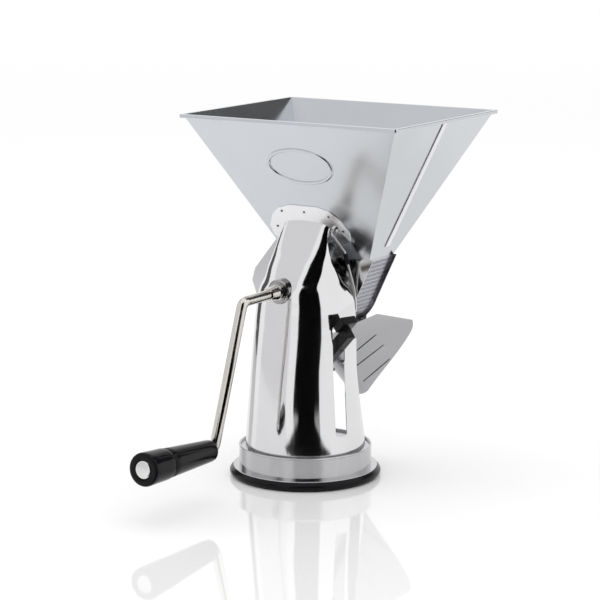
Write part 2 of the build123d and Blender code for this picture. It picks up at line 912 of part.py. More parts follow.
def lever_pin():
    """Eccentric pin between the lever's two hub halves."""
    x, z = pin_place(0)
    pin = Pos(x, 0, z) * Rot(90, 0, 0) * Cylinder(crank_pin_radius, 2 * lever_half - 0.2)
    return on_slot_plane(pin)


def pull_stem():
    """Stem that lifts the cup: flange and rod below, flat slotted eye above."""
    x, z = pin_place(0)
    eye = 8.5
    flat = 3.0
    neck = 62.0
    rod = upright(stem_radius, cup_web + 0.1, neck)
    flange = upright(stem_radius + 6, boss_height, boss_height + 2)
    plate = block((-stem_radius, stem_radius), (-flat, flat), (neck, z))
    plate += Pos(0, 0, z) * Rot(90, 0, 0) * Cylinder(eye, 2 * flat)
    play = 0.3
    travel = pivot_radial - eccentric
    half = max(abs(x), abs(travel)) + play
    hole = crank_pin_radius + play
    slot = block((-half, half), (-10, 10), (z - hole, z + hole))
    for side in (-1, 1):
        slot += Pos(side * half, 0, z) * Rot(90, 0, 0) * Cylinder(hole, 20)
    return on_slot_plane(rod + flange + plate - slot)


def stem_guide():
    """Flanged guide bush of the stem in the base plate."""
    low = plate_level - 5.0
    tube = upright(guide_radius, low, plate_level + 2)
    flange = upright(guide_flange, plate_level, plate_level + 2)
    flat = lever_half + 0.3
    flange &= on_slot_plane(block((-20, 20), (-flat, flat), (plate_level, plate_level + 2)))
    return tube + flange - upright(stem_radius + running, low - 1, plate_level + 5)


def cup_spring():
    """Spring that pushes the cup down again."""
    turns = 2.5
    wire = 0.7
    low = boss_height + 2 + wire + 0.3
    high = plate_level - 5.0 - wire - 0.3
    path = Helix((high - low) / turns, high - low, stem_radius + 2.2)
    section = Plane(origin=path @ 0, z_dir=path % 0) * Circle(wire)
    return Pos(0, 0, low) * sweep(section, path=path)


# ---- clip wire -----------------------------------------------------------------------------
clip_knee = (47.0, -3.2, 228.0)
clip_foot = (50.4, 9.7, 190.0)
clip_hook = (52.2, 9.7, 168.0)


def clip_route():
    """Centre line of the wire from its pivot in the lug to its hook."""
    start = panel_point(clip_x, clip_up, flange_sheet + 0.3)
    turn = panel_point(clip_x, clip_up, clip_reach)
    hx, hy, hz = clip_hook
    tip = (hx - 6.0, hy, hz - 1.0)
    return FilletPolyline(start, turn, clip_knee, clip_foot, clip_hook, tip, radius=2.4)


def sieve_clip():
    """Spring wire clip beside the column."""
    path = clip_route()
    section = Plane(origin=path @ 0, z_dir=path % 0) * Circle(wire_radius)
    return sweep(section, path=path)


def clip_sleeve():
    """Black sleeve on the wire, a finger hold."""
    knee = Vector(*clip_knee)
    foot = Vector(*clip_foot)
    direction = (foot - knee).normalized()
    length = 11.0
    centre = knee + direction * (length / 2 + 2.0)
    plane = Plane(origin=centre, z_dir=tuple(direction))
    tube = plane * (Cylinder(sleeve_radius, length) - Cylinder(wire_radius + 0.05, length + 2))
    return tube


def clip_lug():
    """Round ear on the flange that the wire turns in."""
    seat = panel_plane(clip_x, clip_up, flange_sheet)
    ear = extrude(seat * Circle(3.2), amount=clip_lug_height)
    return ear - extrude(seat * Circle(wire_radius + running), amount=clip_lug_height)


def clip_catch():
    """Small stud on the front plate that the hook passes under."""
    hx, hy, hz = clip_hook
    x = 45.5
    return along_y(1.6, basket_front - 6.0, basket_front, x, hz + 2.4)


# ---- write every node ----------------------------------------------------------------------
nodes = (
    foot_ring, cup_membrane, cup_boss, base_band, base_plate, column_screws, bracket_screws,
    column_shell, column_flange, weld_spots, hopper_front, hopper_rear, rim_hem, side_seams,
    front_plate, rear_plate, sieve_screen, peel_hood, juice_chute, bearing_housing, housing_nut,
    front_bush, basket_front_bush, basket_rear_bush, drive_shaft, thrust_washer, end_nut,
    rotor_hub, rotor_blades, rotor_lips, rotor_pin, crank_ferrule, crank_arm, crank_grip,
    grip_collar, grip_cap, lever_bracket, suction_lever, lever_pin, pull_stem, stem_guide,
    cup_spring, sieve_clip, clip_sleeve, clip_lug, clip_catch,
)

os.makedirs("parts", exist_ok=True)
for make in nodes:
    export_step(make(), "parts/" + make.__name__ + ".step")
print("lift", round(lever_lift, 4), "grip axis", round(grip_x, 2), round(grip_z, 2))
print("bend y", round(bend_y, 2), "grip y", round(grip_y, 2), "grip end", round(grip_end, 2))
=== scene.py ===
import bmesh
import bpy
from math import asin, atan2, cos, pi, radians, sin, sqrt
from mathutils import Matrix, Vector


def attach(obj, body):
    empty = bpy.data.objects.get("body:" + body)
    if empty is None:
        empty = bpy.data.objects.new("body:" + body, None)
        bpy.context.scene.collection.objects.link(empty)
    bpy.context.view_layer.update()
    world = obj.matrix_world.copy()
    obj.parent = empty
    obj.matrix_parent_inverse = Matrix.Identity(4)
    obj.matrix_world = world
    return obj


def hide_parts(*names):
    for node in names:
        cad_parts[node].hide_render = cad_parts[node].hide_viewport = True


bl_info = {
    "name": "Tomato strainer finish",
    "version": (1, 0, 0),
    "blender": (4, 5, 0),
    "location": "View3D > Sidebar > Strainer",
    "description": "Dresses the hand cranked tomato strainer with sheet steel, rubber and plastic",
    "category": "Object",
}

MM = 0.001
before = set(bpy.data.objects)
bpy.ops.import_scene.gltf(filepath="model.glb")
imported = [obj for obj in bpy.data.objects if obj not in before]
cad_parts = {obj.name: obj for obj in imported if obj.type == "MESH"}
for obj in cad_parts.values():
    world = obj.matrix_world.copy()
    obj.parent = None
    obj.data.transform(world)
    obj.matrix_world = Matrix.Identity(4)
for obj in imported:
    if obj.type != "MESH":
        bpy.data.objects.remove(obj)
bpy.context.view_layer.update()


# ---- sizes and colours ---------------------------------------------------------------------
class StrainerSizes(bpy.types.PropertyGroup):
    """Sizes of the pieces that are made here, in metres."""
    sheet: bpy.props.FloatProperty(
        name="Column sheet", description="Thickness of the column's bent sheet",
        default=0.001, unit="LENGTH")
    slot_width: bpy.props.FloatProperty(
        name="Slot width", description="Width of the lever slot", default=0.014, unit="LENGTH")
    medallion_wide: bpy.props.FloatProperty(
        name="Medallion half width", description="Half width of the bare oval on the hopper",
        default=0.036, unit="LENGTH")
    medallion_high: bpy.props.FloatProperty(
        name="Medallion half height", description="Half height of the bare oval on the hopper",
        default=0.020, unit="LENGTH")
    perforation: bpy.props.FloatProperty(
        name="Perforation length", description="Length of one slot of the sieve",
        default=0.0046, unit="LENGTH")


class StrainerColours(bpy.types.PropertyGroup):
    """Colours of the finishes."""
    polished: bpy.props.FloatVectorProperty(
        name="Polished steel", description="Mirror polished sheet", subtype="COLOR",
        default=(0.80, 0.80, 0.81))
    panel: bpy.props.FloatVectorProperty(
        name="Hopper steel", description="Softer polished sheet of the hopper", subtype="COLOR",
        default=(0.66, 0.68, 0.71))
    brushed: bpy.props.FloatVectorProperty(
        name="Brushed steel", description="Brushed band and chute", subtype="COLOR",
        default=(0.50, 0.50, 0.51))
    rubber: bpy.props.FloatVectorProperty(
        name="Rubber", description="Foot ring, cup and wiper lips", subtype="COLOR",
        default=(0.005, 0.005, 0.006))
    plastic: bpy.props.FloatVectorProperty(
        name="Plastic", description="Grip and suction lever", subtype="COLOR",
        default=(0.004, 0.004, 0.005))
    bronze: bpy.props.FloatVectorProperty(
        name="Bronze", description="Bearing bushes", subtype="COLOR",
        default=(0.50, 0.36, 0.18))
    floor: bpy.props.FloatVectorProperty(
        name="Floor", description="Glossy white table", subtype="COLOR",
        default=(0.90, 0.90, 0.90))


# ---- shader maths --------------------------------------------------------------------------
class Value:
    """A shader socket that takes part in Python expressions."""

    def __init__(self, graph, socket):
        self.graph = graph
        self.socket = socket

    def math(self, operation, *others):
        return self.graph.node("ShaderNodeMath", {"operation": operation}, [self, *others])

    def __add__(self, other):
        return self.math("ADD", other)

    def __mul__(self, other):
        return self.math("MULTIPLY", other)


class Graph:
    """A material being built."""

    def __init__(self, name):
        self.material = bpy.data.materials.new(name)
        self.material.use_nodes = True
        self.nodes = self.material.node_tree.nodes
        self.links = self.material.node_tree.links
        self.nodes.clear()
        self.shader = self.nodes.new("ShaderNodeBsdfPrincipled")
        self.output = self.nodes.new("ShaderNodeOutputMaterial")
        self.links.new(self.shader.outputs[0], self.output.inputs[0])

    def plug(self, socket, value):
        if isinstance(value, Value):
            self.links.new(value.socket, socket)
        elif value is not None:
            socket.default_value = value

    def node(self, kind, settings=None, inputs=(), output=0):
        """Adds one node: settings first, then its inputs by order or by name."""
        made = self.nodes.new(kind)
        for key, value in (settings or {}).items():
            if key == "stops":
                ramp = made.color_ramp.elements
                while len(ramp) < len(value):
                    ramp.new(0.5)
                for element, (place, colour) in zip(ramp, value):
                    element.position = place
                    element.color = colour
            else:
                setattr(made, key, value)
        pairs = inputs.items() if isinstance(inputs, dict) else enumerate(inputs)
        for key, value in pairs:
            self.plug(made.inputs[key], value)
        return Value(self, made.outputs[output])

    def where(self, scale=(1, 1, 1), turn=(0, 0, 0)):
        """Object coordinates, turned and scaled."""
        place = self.node("ShaderNodeTexCoord", output=3)
        return self.node("ShaderNodeMapping", {}, {
            "Vector": place, "Scale": scale, "Rotation": turn})

    def noise(self, vector, scale, detail=3.0, roughness=0.55):
        return self.node("ShaderNodeTexNoise", {}, {
            "Vector": vector, "Scale": scale, "Detail": detail, "Roughness": roughness})

    def ramp(self, value, stops):
        return self.node("ShaderNodeValToRGB", {"stops": stops}, [value])

    def mix(self, share, low, high):
        made = self.nodes.new("ShaderNodeMix")
        made.data_type = "RGBA"
        self.plug(made.inputs[0], share)
        self.plug(made.inputs[6], low if isinstance(low, Value) else rgba(low))
        self.plug(made.inputs[7], high if isinstance(high, Value) else rgba(high))
        return Value(self, made.outputs[2])

    def bump(self, height, strength, distance):
        normal = self.node("ShaderNodeBump", {}, {
            "Height": height, "Strength": strength, "Distance": distance})
        self.links.new(normal.socket, self.shader.inputs["Normal"])

    def set(self, **inputs):
        names = {"colour": "Base Color", "rough": "Roughness", "metal": "Metallic",
                 "specular": "Specular IOR Level"}
        for key, value in inputs.items():
            if key == "colour" and isinstance(value, (tuple, list)):
                value = rgba(value)
            self.plug(self.shader.inputs[names[key]], value)


def rgba(colour):
    return (*colour[:3], 1.0)


def shade(colour, factor):
    return tuple(min(1.0, c * factor) for c in colour[:3])


def polished_sheet(name, colour, rough, wave):
    """Mirror polished sheet: faint waviness, wiping marks and a few fine scratches."""
    g = Graph(name)
    haze = g.noise(g.where(), 22.0, 4.0)
    wipe = g.noise(g.where((60, 60, 9), (0.2, 0.1, 0.4)), 14.0, 3.0)
    fine = g.noise(g.where((500, 500, 30), (0.3, 0.0, 0.2)), 4.0, 2.0)
    tone = g.mix(haze * 0.6 + wipe * 0.25, shade(colour, 0.93), shade(colour, 1.05))
    g.set(colour=tone, metal=1.0, rough=haze * 0.05 + wipe * 0.05 + (rough - 0.05))
    g.bump(g.noise(g.where(), 9.0, 1.5) + fine * 0.02, wave, 0.0004)
    return g.material


def drawn_sheet(name, colour, rough):
    """Bent and polished sheet: long waves, upright streaks that grow towards the foot."""
    g = Graph(name)
    haze = g.noise(g.where(), 22.0, 4.0)
    wipe = g.noise(g.where((60, 60, 9), (0.2, 0.1, 0.4)), 14.0, 3.0)
    level = g.node("ShaderNodeSeparateXYZ", {}, [g.node("ShaderNodeTexCoord", output=3)], 2)
    low = g.ramp(level * 5.0, ((0.20, (1, 1, 1, 1)), (0.55, (0.12, 0.12, 0.12, 1))))
    streak = g.noise(g.where((90, 90, 7)), 1.0, 2.0)
    wave = g.noise(g.where((1, 1, 0.7)), 15.0, 1.0)
    tone = g.mix(haze * 0.6 + wipe * 0.25, shade(colour, 0.90), shade(colour, 1.06))
    g.set(colour=tone, metal=1.0, rough=haze * 0.06 + wipe * 0.05 + (rough - 0.05))
    g.bump(wave + streak * low * 0.22, 0.5, 0.0026)
    return g.material


def brushed_sheet(name, colour, rough, stretch):
    """Brushed sheet with grain lines along one direction."""
    g = Graph(name)
    grain = g.noise(g.where(stretch), 3.0, 4.0, 0.7)
    patch = g.noise(g.where(), 14.0, 3.0)
    tone = g.mix(grain * 0.7 + patch * 0.3, shade(colour, 0.8), shade(colour, 1.18))
    g.set(colour=tone, metal=1.0, rough=grain * 0.12 + patch * 0.08 + (rough - 0.1))
    g.bump(grain, 0.25, 0.0002)
    return g.material


def turned_steel(name, colour, rough):
    """Bright round bar and fasteners with fine turning marks."""
    g = Graph(name)
    ring = g.noise(g.where((40, 900, 40)), 2.0, 2.0)
    patch = g.noise(g.where(), 60.0, 3.0)
    tone = g.mix(ring * 0.5 + patch * 0.5, shade(colour, 0.85), shade(colour, 1.1))
    g.set(colour=tone, metal=1.0, rough=patch * 0.1 + ring * 0.06 + (rough - 0.07))
    g.bump(ring, 0.12, 0.0001)
    return g.material


def soft_rubber(name, colour):
    """Moulded rubber, slightly dusty, with a fine pebbled skin."""
    g = Graph(name)
    dust = g.noise(g.where(), 35.0, 4.0)
    pebble = g.noise(g.where(), 900.0, 2.0)
    g.set(colour=g.mix(dust, shade(colour, 0.8), shade(colour, 1.8)),
          rough=dust * 0.12 + 0.16, specular=0.14)
    g.bump(pebble, 0.2, 0.0001)
    return g.material


def moulded_plastic(name, colour, rough):
    """Satin moulded plastic with handling marks."""
    g = Graph(name)
    marks = g.noise(g.where(), 70.0, 5.0)
    skin = g.noise(g.where(), 1400.0, 2.0)
    g.set(colour=g.mix(marks, shade(colour, 0.8), shade(colour, 1.7)),
          rough=marks * 0.10 + (rough - 0.05), specular=0.16)
    g.bump(skin, 0.12, 0.00008)
    return g.material


def bearing_bronze(name, colour):
    """Bearing bronze, darker in patches."""
    g = Graph(name)
    patch = g.noise(g.where(), 120.0, 4.0)
    g.set(colour=g.mix(patch, shade(colour, 0.7), shade(colour, 1.15)), metal=1.0,
          rough=patch * 0.2 + 0.25)
    return g.material


# ---- mesh helpers --------------------------------------------------------------------------
def colours():
    return bpy.context.scene.strainer_colours


def sizes():
    return bpy.context.scene.strainer_sizes


def new_piece(name, verts, faces, material, smooth=True):
    """A mesh object from points in millimetres."""
    mesh = bpy.data.meshes.new(name)
    mesh.from_pydata([[c * MM for c in v] for v in verts], [], faces)
    mesh.update()
    made = bpy.data.objects.new(name, mesh)
    bpy.context.scene.collection.objects.link(made)
    if material:
        mesh.materials.append(material)
    for face in mesh.polygons:
        face.use_smooth = smooth
    return made


def tidy(made, angle=40.0, merge=0.00001):
    """Merges doubles, points the faces outwards and marks the sharp edges."""
    mesh = made.data
    work = bmesh.new()
    work.from_mesh(mesh)
    bmesh.ops.remove_doubles(work, verts=work.verts, dist=merge)
    bmesh.ops.recalc_face_normals(work, faces=work.faces)
    for edge in work.edges:
        if len(edge.link_faces) == 2 and edge.calc_face_angle(0) > radians(angle):
            edge.smooth = False
        else:
            edge.smooth = True
    work.to_mesh(mesh)
    work.free()
    return made


def baked(made):
    """Applies every modifier of an object to its mesh."""
    graph = bpy.context.evaluated_depsgraph_get()
    mesh = bpy.data.meshes.new_from_object(made.evaluated_get(graph))
    made.modifiers.clear()
    old = made.data
    made.data = mesh
    mesh.name = made.name
    bpy.data.meshes.remove(old)
    return made


def bevelled(made, width, segments=3, angle=35.0):
    """Rounds the edges of a piece."""
    edge = made.modifiers.new("edge", "BEVEL")
    edge.width = width * MM
    edge.segments = segments
    edge.limit_method = "ANGLE"
    edge.angle_limit = radians(angle)
    return tidy(baked(made), 30.0)


def node_copy(node, name, material):
    """A merged copy of a CAD node to finish here."""
    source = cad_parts[node]
    mesh = source.data.copy()
    made = bpy.data.objects.new(name, mesh)
    bpy.context.scene.collection.objects.link(made)
    mesh.materials.clear()
    mesh.materials.append(material)
    if mesh.has_custom_normals:
        bpy.context.view_layer.objects.active = made
        with bpy.context.temp_override(object=made, active_object=made):
            bpy.ops.mesh.customdata_custom_splitnormals_clear()
    work = bmesh.new()
    work.from_mesh(mesh)
    bmesh.ops.remove_doubles(work, verts=work.verts, dist=0.00002)
    bmesh.ops.dissolve_limit(work, angle_limit=radians(1.0), verts=work.verts, edges=work.edges)
    bmesh.ops.recalc_face_normals(work, faces=work.faces)
    for face in work.faces:
        face.smooth = True
    work.to_mesh(mesh)
    work.free()
    return made


def lathe(name, profile, material, segments=96):
    """A ring solid turned about Z from closed (radius, level) points, in millimetres."""
    verts = []
    faces = []
    count = len(profile)
    for i in range(segments):
        a = 2 * pi * i / segments
        verts += [(r * cos(a), r * sin(a), z) for r, z in profile]
    for i in range(segments):
        j = (i + 1) % segments
        for k in range(count):
            m = (k + 1) % count
            faces.append((i * count + k, j * count + k, j * count + m, i * count + m))
    return new_piece(name, verts, faces, material)


def prism_faces(count):
    """Faces of a prism whose two ends have count corners each, listed one after the other."""
    ends = [tuple(range(count))[::-1], tuple(range(count, 2 * count))]
    sides = [(i, (i + 1) % count, count + (i + 1) % count, count + i) for i in range(count)]
    return ends + sides


def cut_away(skin, cutter):
    """Takes one piece away from another and drops it."""
    step = skin.modifiers.new("cut", "BOOLEAN")
    step.object = cutter
    step.operation = "DIFFERENCE"
    step.solver = "EXACT"
    baked(skin)
    bpy.data.objects.remove(cutter)


def place(made, matrix):
    """Moves a piece by moving its mesh."""
    made.data.transform(matrix)
    return made


def finish_piece(made, body, slot, *nodes):
    """Says what a piece rides on and hides the CAD nodes it stands for; slot, the finish's name, is
    not used.
    """
    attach(made, body)
    if nodes:
        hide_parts(*nodes)
    return made


# ---- places taken from the solids, in millimetres ------------------------------------------
SHAFT_LEVEL = 191
PLATE_LEVEL = 29.0
FOOT_OUTER = 59.0
FOOT_INNER = 50.0
FLANGE_SHEET = 0.8
SLOT_AZIMUTH = -20
SLOT_BOTTOM = 49.0
WINDOW = (142, 158)
HOUSING_RADIUS = 12.05
SIEVE_OUTER = 48.2
SIEVE_INNER = 47.4
SIEVE_ENDS = (12.4, 57.1)
MEDALLION_AT = (18.1, 106.0)
CHUTE_REAR = 113.9
GRIP_ELBOW = (-23.492, -125.5, 48.321)
GRIP_TILT = 2.9

# the foot of the hopper's front panel and how far the panel leans
THROAT_Y = 11.4
THROAT_Z = 219.3
PANEL = atan2(74.35, 139.1)
UP = Vector((0, -sin(PANEL), cos(PANEL)))
OUT = Vector((0, -cos(PANEL), -sin(PANEL)))


def on_panel(x, up, out=0.0):
    """A point on the hopper's front panel, in millimetres."""
    return Vector((x, THROAT_Y, THROAT_Z)) + UP * up + OUT * out


# ---- pieces --------------------------------------------------------------------------------
# the column's sections: level, centre in x and in y, half width, half depth
SECTIONS = (
    (29.0, 0.0, 0.0, 59.5, 59.5), (75.0, 0.0, 1.0, 56.5, 58.0), (110.0, 0.0, 2.0, 54.5, 56.0),
    (148.0, 1.0, 3.0, 53.0, 53.0), (175.0, 1.7, 3.0, 50.5, 50.8), (190.0, 2.0, 1.0, 46.5, 47.0),
    (199.0, 2.3, -2.0, 41.5, 39.0), (210.0, 2.6, -6.0, 38.0, 28.2),
    (217.0, 3.0, -8.0, 35.0, 22.0), (230.0, 4.0, -9.0, 31.0, 13.0),
    (253.0, 5.5, -4.0, 26.0, 6.6), (262.0, 6.0, 1.5, 25.0, 6.5),
)
# the column's open rear: level and the y of its two edges there
REAR_EDGE = (
    (28, 30), (68, 16), (108, 9), (135, 8), (188, 8), (210, -9), (218, -12), (230, -12),
    (243, -9), (270, 20),
)


def eased(table, level, column):
    """Smooth reading of one column of a table by its first column."""
    last = len(table) - 2
    i = 0
    while i < last and level > table[i + 1][0]:
        i += 1
    a, b = table[i], table[i + 1]
    before = table[max(i - 1, 0)]
    after = table[min(i + 2, last + 1)]
    span = b[0] - a[0]
    slope = (b[column] - a[column]) / span
    start = (b[column] - before[column]) / (b[0] - before[0])
    end = (after[column] - a[column]) / (after[0] - a[0])
    start = max(-3 * abs(slope), min(3 * abs(slope), start)) if start * slope > 0 else 0.0
    end = max(-3 * abs(slope), min(3 * abs(slope), end)) if end * slope > 0 else 0.0
    t = (level - a[0]) / span
    return ((2 * t**3 - 3 * t**2 + 1) * a[column] + (t**3 - 2 * t**2 + t) * span * start
            + (3 * t**2 - 2 * t**3) * b[column] + (t**3 - t**2) * span * end)


def column_point(share, level, inset):
    """A point of the column: share 0 and 1 are its rear edges, 0.5 its front."""
    cx, cy, a, b = (eased(SECTIONS, level, i) for i in (1, 2, 3, 4))
    a -= inset
    b -= inset
    edge = eased(REAR_EDGE, level, 1)
    right = asin(max(-1.0, min(1.0, (edge - cy) / b)))
    angle = (pi - right) + share * (pi + 2 * right)
    return Vector((cx + a * cos(angle), cy + b * sin(angle), level))


def column_top(share, inset):
    """Level at which one line of the column meets the hopper's flange."""
    low, high = 200.0, 262.0
    for _ in range(30):
        middle = (low + high) / 2
        point = column_point(share, middle, inset)
        if (point - on_panel(0, 0, FLANGE_SHEET)).dot(OUT) > 0:
            low = middle
        else:
            high = middle
    return low


def grid_faces(rows, columns, start, flip=False):
    faces = []
    for i in range(rows - 1):
        for j in range(columns - 1):
            a = start + i * columns + j
            quad = (a, a + 1, a + columns + 1, a + columns)
            faces.append(quad[::-1] if flip else quad)
    return faces


class STRAINER_OT_column(bpy.types.Operator):
    """Bent sheet column with its slot, its window and its foot flange"""
    bl_idname = "strainer.column"
    bl_label = "Column"

    def execute(self, context):
        steel = bpy.data.materials["column_steel"]
        rows, columns = 110, 121
        verts = []
        sheet = sizes().sheet / MM
        for inset in (0.0, sheet):
            tops = [column_top(j / (columns - 1), inset) for j in range(columns)]
            for i in range(rows):
                share = i / (rows - 1)
                for j in range(columns):
                    level = PLATE_LEVEL + (tops[j] - PLATE_LEVEL) * share
                    verts.append(column_point(j / (columns - 1), level, inset))
        count = rows * columns
        faces = grid_faces(rows, columns, 0) + grid_faces(rows, columns, count, True)
        rim = list(range(columns))
        rim += [i * columns + columns - 1 for i in range(1, rows)]
        rim += [(rows - 1) * columns + j for j in range(columns - 2, -1, -1)]
        rim += [i * columns for i in range(rows - 2, 0, -1)]
        for a, b in zip(rim, rim[1:] + rim[:1]):
            faces.append((a, b, b + count, a + count)[::-1])
        skin = new_piece("column_skin", verts, faces, steel)
        tidy(skin, 50)
        cut_away(skin, self.slot_cutter())
        cut_away(skin, self.window_cutter())
        cut_away(skin, self.housing_cutter())
        foot = self.foot_flange(steel)
        tidy(skin, 30)
        finish_piece(skin, "stand", "steel_polished", "column_shell")
        finish_piece(foot, "stand", "steel_polished", "column_shell")
        return {"FINISHED"}

    def prism(self, name, outline, low, high):
        """A prism in the slot's own axes: outline in (t, z), from low to high along x."""
        verts = [(x, t, z) for x in (low, high) for t, z in outline]
        made = new_piece(name, verts, prism_faces(len(outline)), None, False)
        place(made, Matrix.Rotation(radians(SLOT_AZIMUTH), 4, "Z"))
        return tidy(made)

    def slot_cutter(self):
        half = sizes().slot_width / MM / 2
        corner = [(side * (half - r), SLOT_BOTTOM + s) for side, r, s in (
            (-1, 0.0, 1.5), (-1, 0.44, 0.44), (-1, 1.5, 0.0), (1, 1.5, 0.0), (1, 0.44, 0.44),
            (1, 0.0, 1.5))]
        return self.prism("slot", corner + [(half, 150), (-half, 150)], 42, 82)

    def window_cutter(self):
        half = sizes().slot_width / MM / 2
        low, high = WINDOW
        corner = [(-half, low), (70, low), (70, high), (-half + 2, high), (-half, high - 2)]
        return self.prism("window", corner, 31, 82)

    def housing_cutter(self):
        bar = [(0.01, -70), (HOUSING_RADIUS, -70), (HOUSING_RADIUS, -20), (0.01, -20)]
        made = lathe("housing", bar, None, 64)
        turn = Matrix.Rotation(radians(-90), 4, "X")
        return tidy(place(made, Matrix.Translation((0, 0, SHAFT_LEVEL * MM)) @ turn))

    def foot_flange(self, steel):
        """The rim turned inwards at the column's foot, with a gap at the rear."""
        verts, faces = [], []
        top = PLATE_LEVEL + 1.0
        section = ((FOOT_OUTER, PLATE_LEVEL), (FOOT_OUTER, top), (FOOT_INNER, top),
                   (FOOT_INNER, PLATE_LEVEL))
        rear = asin(29.6 / 59.4)
        start = pi - rear
        end = 2 * pi + rear
        steps = 72
        for i in range(steps + 1):
            a = start + (end - start) * i / steps
            verts += [(r * cos(a), r * sin(a), z) for r, z in section]
        for i in range(steps):
            for k in range(4):
                m = (k + 1) % 4
                faces.append((4 * i + k, 4 * i + m, 4 * i + 4 + m, 4 * i + 4 + k))
        faces += [(0, 1, 2, 3), tuple(4 * steps + k for k in (3, 2, 1, 0))]
        return tidy(new_piece("column_foot", verts, faces, steel), 50)


class STRAINER_OT_medallion(bpy.types.Operator):
    """Bare oval pressed into the hopper's front panel"""
    bl_idname = "strainer.medallion"
    bl_label = "Medallion"

    def execute(self, context):
        wide = sizes().medallion_wide / MM
        high = sizes().medallion_high / MM
        verts, faces = [], []
        middle, height = MEDALLION_AT
        around, across = 128, 12
        for i in range(around):
            a = 2 * pi * i / around
            for k in range(across):
                b = pi * k / (across - 1)
                r = 1.9 * cos(b)
                x = (wide - 1.0 + r) * cos(a)
                up = (high - 1.0 + r) * sin(a)
                verts.append(on_panel(middle + x, height + up, 1.5 * sin(b) - 0.05))
        for i in range(around):
            j = (i + 1) % around
            for k in range(across - 1):
                faces.append((i * across + k, j * across + k, j * across + k + 1,
                              i * across + k + 1))
            faces.append((i * across + across - 1, j * across + across - 1, j * across,
                          i * across))
        made = new_piece("medallion_bead", verts, faces, bpy.data.materials["hopper_steel"])
        finish_piece(tidy(made, 60), "stand", "steel_polished")
        return {"FINISHED"}


class STRAINER_OT_grip(bpy.types.Operator):
    """Tapered grip, its outer collar and the domed end cap"""
    bl_idname = "strainer.grip"
    bl_label = "Grip"

    def execute(self, context):
        plastic = bpy.data.materials["grip_plastic"]
        elbow = Vector(GRIP_ELBOW) * MM
        tilt = Matrix.Rotation(radians(90 - GRIP_TILT), 4, "X")
        axis = Matrix.Translation(elbow) @ tilt
        body = [(4.06, 7.0), (8.8, 7.0), (9.8, 7.5), (10.4, 8.6), (10.7, 10.2)]
        body += [(10.7 + (14.4 - 10.7) * t / 8, 10.2 + (81.2 - 10.2) * t / 8) for t in range(1, 9)]
        body = body[:-1] + [(14.35, 80.8), (13.9, 81.6), (13.2, 82.0), (4.06, 82.0)]
        grip = tidy(place(lathe("grip_skin", body, plastic), axis), 35)
        collar = [(4.06, 82.05), (13.4, 82.05), (14.4, 82.4), (14.95, 83.1), (15.1, 84.2)]
        collar += [(15.1 + 0.8 * t / 4, 84.0 + 27.5 * t / 4) for t in range(1, 5)]
        collar += [(15.8, 113.2), (15.3, 114.3), (14.2, 115.0), (10.2, 115.0), (9.5, 114.7),
                   (9.2, 114.0), (9.2, 112.6), (4.06, 112.6)]
        outer = tidy(place(lathe("grip_collar_skin", collar, plastic), axis), 35)
        finish_piece(grip, "grip", "plastic_black", "crank_grip")
        finish_piece(outer, "grip", "plastic_black", "grip_collar")
        cap = [(0.02, 113.1), (8.5, 113.1), (8.8, 113.3), (8.8, 113.9), (8.6, 114.3)]
        cap += [(8.5 * cos(a), 114.4 + 1.7 * sin(a)) for a in (pi / 2 * t / 8 for t in range(1, 8))]
        cap += [(0.02, 116.1)]
        made = lathe("grip_cap_skin", cap, bpy.data.materials["bright_steel"])
        finish_piece(tidy(place(made, axis), 40), "crank", "steel_polished", "grip_cap")
        return {"FINISHED"}


class STRAINER_OT_lever(bpy.types.Operator):
    """Suction lever with its edges rounded"""
    bl_idname = "strainer.lever"
    bl_label = "Suction lever"

    def execute(self, context):
        made = node_copy("suction_lever", "lever_skin", bpy.data.materials["lever_plastic"])
        finish_piece(bevelled(made, 0.5), "lever", "plastic_black", "suction_lever")
        return {"FINISHED"}


class STRAINER_OT_chute(bpy.types.Operator):
    """Juice chute with its rear edge rounded off and its sheet edges softened"""
    bl_idname = "strainer.chute"
    bl_label = "Juice chute"

    def execute(self, context):
        made = node_copy("juice_chute", "chute_skin", bpy.data.materials["chute_steel"])
        edge = [(57, CHUTE_REAR), (50, 113.0), (42, 111.2), (34, 108.6), (26, 105.6), (18, 103.0),
                (9, 100.8), (0, 100.0)]
        edge += [(-x, y) for x, y in edge[-2::-1]]
        outline = [(-70, CHUTE_REAR), (-70, 130), (70, 130), (70, CHUTE_REAR)] + edge
        verts = [(x, y, z) for z in (60, 150) for x, y in outline]
        faces = prism_faces(len(outline))
        cut_away(made, tidy(new_piece("chute_cut", verts, faces, None, False)))
        finish_piece(bevelled(made, 0.2, 2), "stand", "steel_brushed", "juice_chute")
        return {"FINISHED"}


class STRAINER_OT_sheet_edges(bpy.types.Operator):
    """Flange, seams and hem with their sheet edges rounded"""
    bl_idname = "strainer.sheet_edges"
    bl_label = "Sheet edges"

    def execute(self, context):
        # The column's flange and the side seams take the lighter steel, a painted highlight
        for node, steel, width in (
                ("column_flange", "seam_highlight_steel", 0.3), ("side_seams", "seam_highlight_steel", 0.35),
                ("rim_hem", "hopper_steel", 0.8), ("peel_hood", "hopper_steel", 0.25)):
            made = node_copy(node, node + "_skin", bpy.data.materials[steel])
            finish_piece(bevelled(made, width), "stand", "steel_polished", node)
        return {"FINISHED"}


def tangent_wall(radius):
    """The sieve's path in (x, z): the straight wall from the throat, then the arc."""
    wall_x = 66.2
    dx, dz = wall_x, THROAT_Z - SHAFT_LEVEL
    start = atan2(dz, dx) - (pi / 2 - asin(radius / sqrt(dx * dx + dz * dz)))
    end = radians(195 - 360)
    top = Vector((wall_x + radius - SIEVE_OUTER, THROAT_Z - 0.1))
    angles = [start + (end - start) * i / 60 for i in range(61)]
    arc = [Vector((radius * cos(a), SHAFT_LEVEL + radius * sin(a))) for a in angles]
    line = [top.lerp(arc[0], i / 12) for i in range(12)]
    return line + arc


